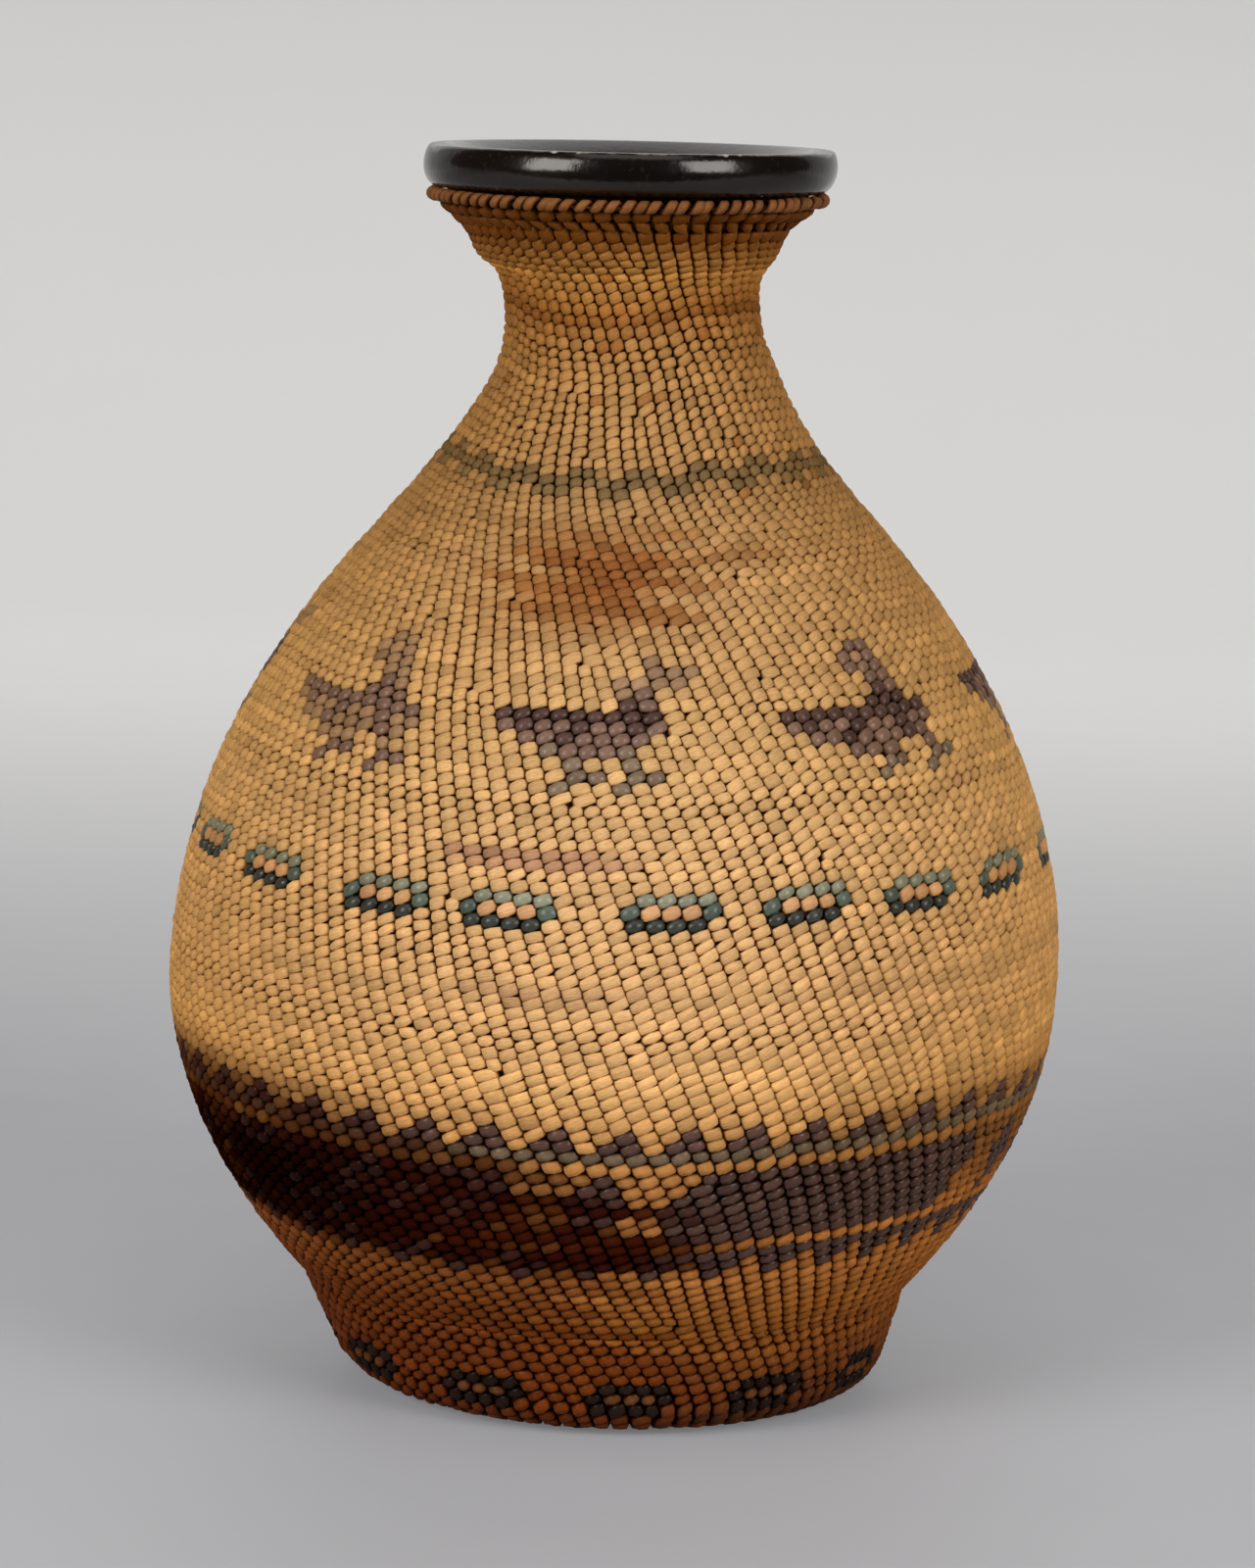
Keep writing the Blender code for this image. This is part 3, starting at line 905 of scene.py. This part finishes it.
LOWER_TOOTH_EDGE = 4.2
BATTLEMENT = ("....", "cc..", "cccc", "..cc")
# Painted shade on the sides: stitches turn darker and yellower away from the front, and less so
# round the back.
SIDE_SHADE_ANGLE = 1.4
SIDE_SHADE_TINT = (0.86, 0.76, 0.56)
BACK_SHADE_ANGLES = (1.7, 2.7)
BACK_SHADE_SHARES = (1.0, 0.35)
RAGGED = ((6, 7, 2.1), (4, 13, 1.3))
SOFT_DEGREES = 20
GLOOM_PLAIN = (0.10, 0.045, 0.05)
GLOOM_DYED = (0.36, 0.11, 0.075)
GLOOM_HEIGHTS = (0.026, 0.030, 0.036, 0.041, 0.046, 0.050)
GLOOM_EDGES = (6, 17, 4, -9, -28, -40)
GLOOM_DEPTHS = (1.0, 1.0, 1.0, 0.97, 0.82, 0.6)
GLOOM_SPAN = (0.0260, 0.0495, 0.004)
GLOOM_LEFT = -125
GLOOM_UNEVENNESS = 0.25
GLOOM_DULLING = 0.93
SOOT = 0.65
SOOT_AREAS = ((1.0, (-100, -34, 18), (0.0275, 0.0400, 0.005)),)
STAIN = srgb(152, 98, 50)
STAIN_AREAS = (
    (1.0, (-25, 9, 18), (0.1130, 0.1255, 0.006)),
    (0.6, (10, 38, 12), (0.1205, 0.1225, 0.002)),
)
STAIN_MOST = 0.9
STAIN_CORE = srgb(128, 70, 30)
STAIN_CORE_AREAS = ((1.0, (-13, 4, 12), (0.1155, 0.1235, 0.005)),)
STAIN_CORE_DEPTH = 0.7
SCORCH = srgb(120, 55, 14)
SCORCH_HEIGHTS = (0.010, 0.012, 0.018, 0.026)
SCORCH_EDGES = (20, 18, -2, 6)
SCORCH_DEPTHS = (0.85, 0.85, 0.85, 0.62)
SCORCH_SPAN = (-0.01, 0.0285, 0.006)
SCORCH_LEFT = -140
SHADED = (0.62, 0.60, 0.56)
SHADED_AREAS = ((1.0, (26, 100, 20), (0.0335, 0.0495, 0.006)),)
KNOT = (0.78, 0.64, 0.52)
KNOT_HEIGHT = 0.126
KNOT_SHARE = 0.02
ROUND_HEIGHTS = (0.010, 0.030, 0.046, 0.056, 0.074, 0.080, 0.096, 0.104, 0.125, 0.135, 0.168)
ROUND_SHARES = (0.55, 0.45, 0.35, 0.08, 0.05, 0.30, 0.30, 0.15, 0.15, 0.35, 0.30)
MAUVE = srgb(178, 128, 100)
MAUVE_AREAS = (
    (1.0, (-24, 4, 10), (0.0836, 0.0862, 0.001)),
    (0.8, (-22, 2, 8), (0.0660, 0.0675, 0.001)),
)
MAUVE_DEPTH = 0.75
NATURAL_GLOSS = 0.25
DYE_SPREAD = 0.1
STRAND_BREAKS = (5, 11)
STRAND_SPREAD = 0.045
ROW_SPREAD = 0.035
STITCH_SPREAD = 0.08
ROUND_SPREAD = 0.12
ROUND_ROWS = 0.12
ROUNDER_ROW = 0.5
ROUNDER_DYED = 0.25
SIDE_SLANT = 21.0
COLLAR_SLANT = -22.0
SLANT_SPREAD = 4.0
PLUMPNESS = (0.96, 0.05)
PLUMPNESS_LIMITS = (0.8, 1.06)

band_rows = {
    band[0]: range(start, stop) for band, start, stop in zip(BANDS, band_edges, band_edges[1:])
}
marks = np.full((row_count, COLUMNS), " ")


def nearest(row, columns, degrees):
    """Which of some columns is nearest in a row to an angle from the front."""
    apart = column_angles[row, columns] - math.radians(degrees)
    return int(np.argmin(abs((apart + math.pi) % math.tau - math.pi)))


def place_motif(chart, bottom_row, degrees):
    """Marks one small motif on the rows from a bottom row upwards. The middle of its bottom line
    is at an angle from the front, and it hangs on a column that all of its rows have."""
    rows = range(bottom_row, bottom_row + len(chart))
    lasting = np.flatnonzero(shown[rows.start : rows.stop].all(axis=0))
    anchor = lasting[nearest(bottom_row, lasting, degrees)]
    for row, line in zip(rows, reversed(chart)):
        columns = np.flatnonzero(shown[row])
        start = np.searchsorted(columns, anchor) - len(line) // 2
        for across, mark in enumerate(line):
            if mark != ".":
                marks[row, columns[(start + across) % len(columns)]] = mark


def place_frieze(chart, bottom_row, reference_row, degrees):
    """Marks a motif that repeats all the way round and follows the lean of the columns."""
    reference = np.flatnonzero(shown[reference_row])
    at = nearest(reference_row, reference, degrees)
    for up, line in enumerate(reversed(chart)):
        for column in np.flatnonzero(shown[bottom_row + up]):
            across = (np.searchsorted(reference, column) - at) % len(line)
            if line[across] != ".":
                marks[bottom_row + up, column] = line[across]


for number in range(BIRD_COUNT):
    sway = chance.uniform(-BIRD_SWAY, BIRD_SWAY)
    bird = BOLD_BIRD if number in BOLD_BIRDS else BIRD
    if number == FADED_BIRD:
        bird = [line.translate(FADING) for line in bird]
    degrees = BIRD_START + 360.0 / BIRD_COUNT * number + sway
    place_motif(bird, band_rows["bird_band"].start, degrees)
for number in range(RING_COUNT):
    sway = chance.uniform(-RING_SWAY, RING_SWAY)
    degrees = RING_START + 360.0 / RING_COUNT * number + sway
    place_motif(RING, band_rows["ring_band"].start, degrees)
for number in range(FOOT_RING_COUNT):
    degrees = FOOT_RING_START + 360.0 / FOOT_RING_COUNT * number
    place_motif(FOOT_RING, band_rows["foot_dash_band"].start, degrees)
wave_rows = band_rows["dark_wave_band"]
place_frieze(WAVE, wave_rows.start, wave_rows.start + len(WAVE) // 2, WAVE_EDGE)
place_frieze(TOOTH, wave_rows.stop, wave_rows.stop, TOOTH_EDGE)
lowest_tooth = wave_rows.start - len(LOWER_TOOTH)
place_frieze(LOWER_TOOTH, lowest_tooth, wave_rows.start - 1, LOWER_TOOTH_EDGE)
battlement_start = band_rows["castellated_band"].start
place_frieze(BATTLEMENT, battlement_start, battlement_start + len(BATTLEMENT) // 2, 0.0)


def bump_shape(value, low, high, soft):
    """1 between low and high, falling to 0 over a soft margin on both sides."""
    rise = np.clip((value - low) / soft + 0.5, 0, 1)
    fall = np.clip((high - value) / soft + 0.5, 0, 1)
    return (rise * rise * (3 - 2 * rise)) * (fall * fall * (3 - 2 * fall))


def covered(areas, degrees, height):
    """How strongly soft-edged areas cover stitches. An area has a strength, and the low end, the
    high end and the soft margin of its degrees from the front and of its heights."""
    return sum(
        strength * bump_shape(degrees, *across) * bump_shape(height, *up)
        for strength, across, up in areas
    )


def strand_tones():
    """Lightness of each stitch from the strand that it belongs to: a strand runs for a dozen
    stitches or more along its row, and some rows are of duller grass."""
    tones = np.ones((row_count, COLUMNS))
    for row in range(row_count):
        breaks = np.sort(chance.integers(0, COLUMNS, chance.integers(*STRAND_BREAKS)))
        tone = chance.normal(1.0, STRAND_SPREAD, len(breaks) + 1)
        tones[row] = tone[np.searchsorted(breaks, np.arange(COLUMNS))]
        tones[row] *= chance.normal(1.0, ROW_SPREAD)
    return tones


tones = strand_tones()
drifts = chance.normal(1.0, STITCH_SPREAD, (row_count, COLUMNS))


def stitch_colours(row, column):
    """Colour and gloss of stitches: the plain grass by its height with its stains and scorching,
    and with a painted highlight and painted shade near the lip, then the dyes, the painted shade
    on the sides and the dark patch at the lower left."""
    angle = (column_angles[row, column] + math.pi) % math.tau - math.pi
    height = row_level[row]
    heights = [entry[0] for entry in NATURAL_LIGHT_AND_SHADE_BY_HEIGHT]
    table = np.array([srgb(*entry[1]) for entry in NATURAL_LIGHT_AND_SHADE_BY_HEIGHT])
    # The plain colour by height carries a painted highlight and painted shade near the lip.
    plain_with_painted_light = np.stack([np.interp(height, heights, table[:, part]) for part in range(3)], -1)
    ragged = sum(size * np.sin(number * angle + turn * row) for size, number, turn in RAGGED)
    strayed = np.degrees(angle) + ragged
    stain = covered(STAIN_AREAS, strayed, height)
    plain_with_painted_light += np.clip(stain, 0, STAIN_MOST)[:, None] * (STAIN - plain_with_painted_light)
    core = covered(STAIN_CORE_AREAS, strayed, height)
    plain_with_painted_light += (STAIN_CORE_DEPTH * core)[:, None] * (STAIN_CORE - plain_with_painted_light)
    shaded = covered(SHADED_AREAS, strayed, height)
    plain_with_painted_light *= 1 - shaded[:, None] * (1 - np.array(SHADED))
    knots = (chance.random(len(row)) < KNOT_SHARE) & (height > KNOT_HEIGHT)
    plain_with_painted_light[knots] *= KNOT
    mauve = covered(MAUVE_AREAS, strayed, height)
    plain_with_painted_light += (MAUVE_DEPTH * mauve)[:, None] * (MAUVE - plain_with_painted_light)
    scorch_edge = np.interp(height, SCORCH_HEIGHTS, SCORCH_EDGES)
    scorched = bump_shape(strayed, SCORCH_LEFT, scorch_edge, SOFT_DEGREES)
    scorched *= bump_shape(height, *SCORCH_SPAN)
    scorched *= np.interp(height, SCORCH_HEIGHTS, SCORCH_DEPTHS)
    plain_with_painted_light += scorched[:, None] * (SCORCH - plain_with_painted_light)
    colour = plain_with_painted_light * (tones * drifts)[row, column][:, None]
    gloss = np.full(len(row), NATURAL_GLOSS)
    for mark, (shade, shine) in DYES.items():
        picked = marks[row, column] == mark
        spread = chance.normal(1.0, DYE_SPREAD, picked.sum())[:, None]
        colour[picked] = srgb(*shade) * spread
        gloss[picked] = shine
    # Painted shade: darker and yellower towards the sides, and less so round the back.
    painted_side_shade = 0.5 - 0.5 * np.cos(np.minimum(abs(angle) / SIDE_SHADE_ANGLE, 1) * math.pi)
    painted_side_shade *= np.interp(abs(angle), BACK_SHADE_ANGLES, BACK_SHADE_SHARES)
    colour *= 1 - painted_side_shade[:, None] * (1 - np.array(SIDE_SHADE_TINT))
    plain = marks[row, column] == " "
    gloom_edge = np.interp(height, GLOOM_HEIGHTS, GLOOM_EDGES)
    gloom = bump_shape(height, *GLOOM_SPAN)
    gloom *= bump_shape(strayed, GLOOM_LEFT, gloom_edge, SOFT_DEGREES)
    uneven_gloom = 1 - GLOOM_UNEVENNESS * chance.random(len(row)) ** 5
    gloom *= np.interp(height, GLOOM_HEIGHTS, GLOOM_DEPTHS) * uneven_gloom
    soot = covered(SOOT_AREAS, strayed, height)
    colour *= 1 - gloom[:, None] * (1 - np.where(plain[:, None], GLOOM_PLAIN, GLOOM_DYED))
    colour *= (1 - SOOT * soot)[:, None]
    gloss *= 1 - GLOOM_DULLING * gloom
    return np.column_stack([colour, gloss])


def side_band(name, rows):
    row, column = stitches_of(rows)
    count = len(row)
    rounded_rows = chance.random(row_count) < ROUND_ROWS
    dyed = ~np.isin(marks[row, column], (" ", "w"))
    rounded = np.interp(row_level[row], ROUND_HEIGHTS, ROUND_SHARES)
    rounded = rounded + chance.normal(0, ROUND_SPREAD, count)
    rounded = np.clip(rounded + ROUNDER_ROW * rounded_rows[row] + ROUNDER_DYED * dyed, 0, 1)
    collar = row >= row_count - COLLAR_ROWS
    slant = np.where(collar & ((row_count - row) % 2 == 0), COLLAR_SLANT, SIDE_SLANT)
    look = (
        slant + chance.normal(0, SLANT_SPREAD, count),
        np.clip(chance.normal(*PLUMPNESS, count), *PLUMPNESS_LIMITS),
        rounded,
    )
    return lay_stitches(name, where_of(row, column), stitch_colours(row, column), look)


for node, slot_name, _, _ in BANDS:
    band = link(node + "_stitches", side_band(node + "_stitches", band_rows[node]))
    hung(band, node)

# The bound edge
# The ends of the warps are turned down and bound off under the lip with strong strands, whose
# slanted turns stand close together like a twisted cord.
EDGE_TURNS = 88
EDGE_STRAND = 0.0006
EDGE_SWEEP = 300.0
EDGE_START = 190.0
EDGE_ADVANCE = 0.75
EDGE_CUTS = (10, 3)
EDGE_COLOUR = (130, 82, 44)
EDGE_RISE = 0.0004
EDGE_SPREAD = 0.0003
EDGE_FILL = 0.46
EDGE_ROUNDING = 0.85
EDGE_UNEVENNESS = 0.15
EDGE_STRAY = 0.00005
EDGE_GLOSS = 0.2
EDGE_FIBRE_STRETCH = 3


def edge_template():
    """One turn of a binding strand, flat: x from -1 to 1 along it and z from 0 to 1."""
    shape = slab(*EDGE_CUTS)
    for vert in shape.verts:
        y = math.sin(vert.co.y * math.pi / 2)
        vert.co = (vert.co.x, y, (1 + vert.co.z) * (1 - EDGE_ROUNDING * abs(y) ** 3))
    return mesh_from(shape, "edge_turn")


def bound_edge():
    template = edge_template()
    x, y, depth = points_of(template).T[:, None, :]
    step = math.tau / EDGE_TURNS
    start = (np.arange(EDGE_TURNS) * step)[:, None]
    start = start + chance.normal(0, EDGE_UNEVENNESS * step, (EDGE_TURNS, 1))
    around = np.radians(EDGE_START - EDGE_SWEEP * (x + 1) / 2)
    angle = start + step * (EDGE_FILL * y - EDGE_ADVANCE * x / 2)
    reach = EDGE_RADIUS - EDGE_STRAND * (1 - depth)
    reach = reach + chance.normal(0, EDGE_STRAY, (EDGE_TURNS, 1))
    centre_radius, centre_height = along_outside(braid_arc, FIT_GAP + EDGE_RADIUS)
    radius = centre_radius + EDGE_SPREAD + reach * np.cos(around)
    height = centre_height + reach * np.sin(around) + EDGE_RISE * np.sin(angle) ** 2
    places = lopsided(radius, angle, height)
    mesh = copies(template, EDGE_TURNS, "bound_edge")
    mesh.vertices.foreach_set("co", places.ravel())
    colour = srgb(*EDGE_COLOUR) * chance.normal(1.0, DYE_SPREAD, (EDGE_TURNS, 1))
    dye = np.column_stack([colour, np.full(EDGE_TURNS, EDGE_GLOSS)])
    store_grass(mesh, x * EDGE_FIBRE_STRETCH, y, depth, dye, places.shape[:2])
    return mesh


edge = link("bound_edge", bound_edge())
hung(edge, "edge_braid")

# The table, the light and the camera
# A plain pale table runs back and curves up into the backdrop. Two soft lights stand in front
# to the left and right, with weaker ones above and behind. The camera looks slightly down.
TABLE_DROP = 0.0003
TABLE_HALF_WIDTH = 2.5
TABLE_FRONT = -0.3
TABLE_BACK = 1.5
BACKDROP_HEIGHT = 2.2
SWEEP_RADIUS = 0.7
SWEEP_CUTS = 16
BACKDROP_START = (0.15, 0.75)
FLOOR_COLOUR = (0.36, 0.36, 0.37)
BACKDROP_COLOUR = (0.60, 0.595, 0.58)
TABLE_BOUNCE = (0.22, 0.22, 0.23)
FLOOR_GLOW = (0.13, 0.13, 0.135)
BACKDROP_GLOW = (0.36, 0.355, 0.345)
LIGHT_AIM = Vector((0.0, 0.0, 0.10))
LIGHTS = (
    ("left_panel", -45.0, 19.0, 7.5, 0.5, 0.58, 1.05),
    ("right_panel", 45.0, 19.0, 6.9, 0.5, 0.58, 1.05),
    ("top_panel", 0.0, 62.0, 3.0, 1.0, 0.8, 1.2),
    ("back_panel", 180.0, 42.0, 2.8, 1.6, 1.2, 1.05),
)
WORLD_COLOUR = (0.95, 0.97, 1.0, 1.0)
WORLD_STRENGTH = 0.06
CLIP_START = 0.01
IMAGE_HEIGHT_PIXELS = 1600
FOCAL_PIXELS = 5692.56
SENSOR = 36.0
CAMERA_PLACE = Vector((0.000771, -0.777932, 0.212929))
CAMERA_DOWN = math.radians(9.3536)
CAMERA_ROLL = math.radians(1.7779)


def table():
    shape = bmesh.new()
    left, right = -TABLE_HALF_WIDTH, TABLE_HALF_WIDTH
    ends = ((left, TABLE_FRONT), (right, TABLE_FRONT), (right, TABLE_BACK), (left, TABLE_BACK))
    corners = [shape.verts.new((x, y, -TABLE_DROP)) for x, y in ends]
    shape.faces.new(corners)
    back = next(edge for edge in shape.edges if all(vert.co.y > 0 for vert in edge.verts))
    grown = bmesh.ops.extrude_edge_only(shape, edges=[back])["geom"]
    raised = [item for item in grown if isinstance(item, bmesh.types.BMVert)]
    bmesh.ops.translate(shape, verts=raised, vec=(0, 0, BACKDROP_HEIGHT))
    bmesh.ops.bevel(
        shape, geom=[back], offset=SWEEP_RADIUS, segments=SWEEP_CUTS,
        profile=0.5, affect="EDGES", material=-1,
    )
    bmesh.ops.recalc_face_normals(shape, faces=shape.faces)
    mesh = mesh_from(shape, "table")
    mesh.shade_smooth()
    return mesh


def table_finish():
    made, shader, shade = material("pale_table")
    place = shade.node("ShaderNodeTexCoord", {}, {}, "Object")
    rays = ("Is Camera Ray", "Is Glossy Ray", "Is Transmission Ray")
    direct, mirrored, through = (shade.node("ShaderNodeLightPath", {}, {}, ray) for ray in rays)
    seen = direct.maths("MAXIMUM", mirrored).maths("MAXIMUM", through)
    far = place.parts()[1].ramp(*BACKDROP_START)
    grey = seen.blend((*TABLE_BOUNCE, 1), far.blend((*FLOOR_COLOUR, 1), (*BACKDROP_COLOUR, 1)))
    glow = far.blend((*FLOOR_GLOW, 1), (*BACKDROP_GLOW, 1))
    feed(grey.scaled(0.97 + 0.06 * place.noise(9.0, 3.0)), shader, "Base Color")
    feed(seen.blend((0, 0, 0, 1), glow), shader, "Emission Color")
    shader.inputs["Emission Strength"].default_value = 1.0
    feed(0.55 + 0.1 * place.noise(60.0, 2.0), shader, "Roughness")
    return made


def soft_light(name, azimuth, elevation, watts, width, height, distance):
    """Soft panel aimed at the bottle, at an azimuth from the front and an elevation."""
    light = bpy.data.lights.new(name, "AREA")
    light.shape = "RECTANGLE"
    light.size = width
    light.size_y = height
    light.energy = watts
    lamp = bpy.data.objects.new(name, light)
    turn, lift = math.radians(azimuth), math.radians(elevation)
    level = math.cos(lift)
    away = Vector((math.sin(turn) * level, -math.cos(turn) * level, math.sin(lift)))
    lamp.location = LIGHT_AIM + away * distance
    lamp.rotation_euler = away.to_track_quat("Z", "Y").to_euler()
    bpy.context.scene.collection.objects.link(lamp)


floor = link("table", table())
floor.data.materials.append(table_finish())

for settings in LIGHTS:
    soft_light(*settings)

world = bpy.data.worlds.new("studio")
world.use_nodes = True
world.node_tree.nodes["Background"].inputs["Color"].default_value = WORLD_COLOUR
world.node_tree.nodes["Background"].inputs["Strength"].default_value = WORLD_STRENGTH
bpy.context.scene.world = world
bpy.context.scene.view_settings.view_transform = "Standard"

lens = bpy.data.cameras.new("camera")
lens.sensor_width = SENSOR
lens.lens = FOCAL_PIXELS / IMAGE_HEIGHT_PIXELS * SENSOR
lens.clip_start = CLIP_START
camera = bpy.data.objects.new("camera", lens)
look_down = Matrix.Rotation(math.pi / 2 - CAMERA_DOWN, 3, "X")
camera.rotation_euler = (look_down @ Matrix.Rotation(CAMERA_ROLL, 3, "Z")).to_euler()
camera.location = CAMERA_PLACE
bpy.context.scene.collection.objects.link(camera)
bpy.context.scene.camera = camera
